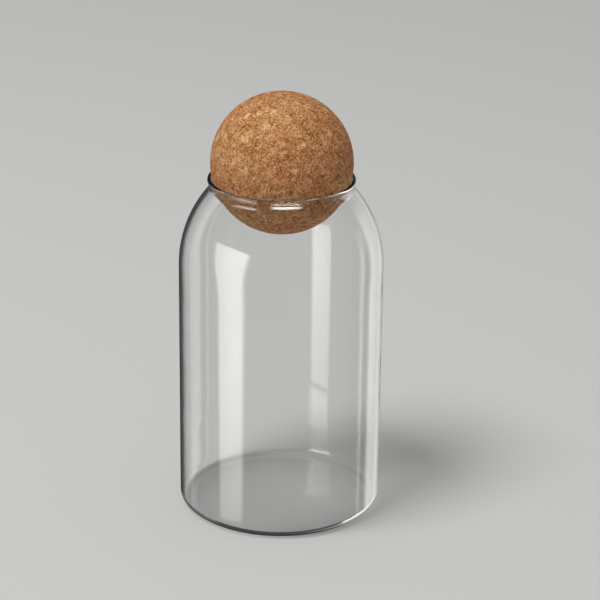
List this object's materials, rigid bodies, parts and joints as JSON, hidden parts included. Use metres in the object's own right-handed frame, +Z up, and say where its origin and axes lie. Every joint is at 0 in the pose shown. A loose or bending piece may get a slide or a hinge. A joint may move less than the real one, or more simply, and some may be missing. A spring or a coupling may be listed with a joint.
{
  "type": "glass storage jar with cork ball lid",
  "caption": "Clear blown glass storage jar with a straight round body, rounded shoulder and flared mouth, closed by a whole cork ball that lifts off.",
  "frame": {"origin": "centre of the jar's base, on the surface it stands on", "axes": "+Z up along the jar's axis, +X to the right and -Y to the front as the picture shows it; the jar looks the same from every side"},
  "size_m": [0.1, 0.1, 0.2119],
  "materials": {
    "clear_glass": "clear blown borosilicate glass, fire-polished lip, smooth and glossy all over",
    "agglomerated_cork": "fine agglomerated cork, turned to a ball and left bare, tan granules with pale and dark brown flecks, matt"
  },
  "bodies": {
    "jar": {"glass_jar": "clear_glass"},
    "lid": {"cork_ball": "agglomerated_cork"}
  },
  "joints": [
    {"name": "lid_lift", "type": "slide", "parent": "jar", "child": "lid", "axis": [0, 0, 1], "range_m": [0, 0.12]}
  ]
}
